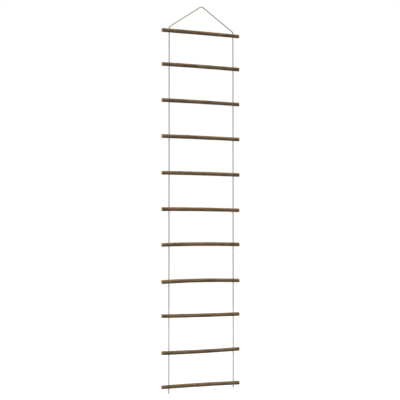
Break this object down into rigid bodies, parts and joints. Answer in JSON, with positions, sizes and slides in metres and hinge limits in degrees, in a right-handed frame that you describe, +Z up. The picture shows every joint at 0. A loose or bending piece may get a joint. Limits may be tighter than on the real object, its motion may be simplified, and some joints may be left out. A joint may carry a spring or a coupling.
{
  "type": "rope ladder",
  "caption": "Hanging rope ladder: round natural branch rungs drilled near both ends and threaded on one rope that makes a V over a single hanging point, with short loose tails below",
  "frame": {"origin": "the hanging point: the underside of the rope's bend at the top, where the hook, peg or branch bears", "axes": "+Z up, +X along the rungs to the right as seen from the front, -Y towards the front"},
  "size_m": [0.635, 0.0333, 2.9095],
  "materials": {
    "bark_wood": "dry grey-brown bark, matt, with paler sawn ends",
    "rope": "natural hemp or jute, three strands, slightly hairy, matt",
    "pin_steel": "plain bright steel wire"
  },
  "bodies": {
    "yoke": {"yoke_rope": "rope"},
    "rung_01": {"rung_01": "bark_wood", "pins_rung_01": "pin_steel", "left_rope_01": "rope", "right_rope_01": "rope"},
    "rung_02": {"rung_02": "bark_wood", "pins_rung_02": "pin_steel", "left_rope_02": "rope", "right_rope_02": "rope"},
    "rung_03": {"rung_03": "bark_wood", "pins_rung_03": "pin_steel", "left_rope_03": "rope", "right_rope_03": "rope"},
    "rung_04": {"rung_04": "bark_wood", "pins_rung_04": "pin_steel", "left_rope_04": "rope", "right_rope_04": "rope"},
    "rung_05": {"rung_05": "bark_wood", "pins_rung_05": "pin_steel", "left_rope_05": "rope", "right_rope_05": "rope"},
    "rung_06": {"rung_06": "bark_wood", "pins_rung_06": "pin_steel", "left_rope_06": "rope", "right_rope_06": "rope"},
    "rung_07": {"rung_07": "bark_wood", "pins_rung_07": "pin_steel", "left_rope_07": "rope", "right_rope_07": "rope"},
    "rung_08": {"rung_08": "bark_wood", "pins_rung_08": "pin_steel", "left_rope_08": "rope", "right_rope_08": "rope"},
    "rung_09": {"rung_09": "bark_wood", "pins_rung_09": "pin_steel", "left_rope_09": "rope", "right_rope_09": "rope"},
    "rung_10": {"rung_10": "bark_wood", "pins_rung_10": "pin_steel", "left_rope_10": "rope", "right_rope_10": "rope"},
    "rung_11": {"rung_11": "bark_wood", "pins_rung_11": "pin_steel", "left_rope_11": "rope", "right_rope_11": "rope"},
    "left_tail": {"left_tail": "rope"},
    "right_tail": {"right_tail": "rope"}
  },
  "joints": [
    {"name": "rung_01_swing", "type": "hinge", "parent": "yoke", "child": "rung_01", "pos_m": [0, 0, -0.1745], "axis": [1, 0, 0], "range_deg": [-90, 90]},
    {"name": "rung_02_swing", "type": "hinge", "parent": "rung_01", "child": "rung_02", "pos_m": [0, 0, -0.4295], "axis": [-1, 0, 0], "range_deg": [-90, 90]},
    {"name": "rung_03_swing", "type": "hinge", "parent": "rung_02", "child": "rung_03", "pos_m": [0, 0, -0.6995], "axis": [1, 0, 0], "range_deg": [-90, 90]},
    {"name": "rung_04_swing", "type": "hinge", "parent": "rung_03", "child": "rung_04", "pos_m": [0, 0, -0.9685], "axis": [-1, 0, 0], "range_deg": [-90, 90]},
    {"name": "rung_05_swing", "type": "hinge", "parent": "rung_04", "child": "rung_05", "pos_m": [0, 0, -1.2415], "axis": [1, 0, 0], "range_deg": [-90, 90]},
    {"name": "rung_06_swing", "type": "hinge", "parent": "rung_05", "child": "rung_06", "pos_m": [0, 0, -1.5125], "axis": [-1, 0, 0], "range_deg": [-90, 90]},
    {"name": "rung_07_swing", "type": "hinge", "parent": "rung_06", "child": "rung_07", "pos_m": [0, 0, -1.7755], "axis": [1, 0, 0], "range_deg": [-90, 90]},
    {"name": "rung_08_swing", "type": "hinge", "parent": "rung_07", "child": "rung_08", "pos_m": [0, 0, -2.0505], "axis": [-1, 0, 0], "range_deg": [-90, 90]},
    {"name": "rung_09_swing", "type": "hinge", "parent": "rung_08", "child": "rung_09", "pos_m": [0, 0, -2.3065], "axis": [1, 0, 0], "range_deg": [-90, 90]},
    {"name": "rung_10_swing", "type": "hinge", "parent": "rung_09", "child": "rung_10", "pos_m": [0, 0, -2.5765], "axis": [-1, 0, 0], "range_deg": [-90, 90]},
    {"name": "rung_11_swing", "type": "hinge", "parent": "rung_10", "child": "rung_11", "pos_m": [0, 0, -2.8295], "axis": [1, 0, 0], "range_deg": [-90, 90]},
    {"name": "left_tail_swing", "type": "hinge", "parent": "rung_11", "child": "left_tail", "pos_m": [0, 0, -2.8715], "axis": [1, 0, 0], "range_deg": [-90, 90]},
    {"name": "right_tail_swing", "type": "hinge", "parent": "rung_11", "child": "right_tail", "pos_m": [0, 0, -2.8715], "axis": [1, 0, 0], "range_deg": [-90, 90]}
  ]
}
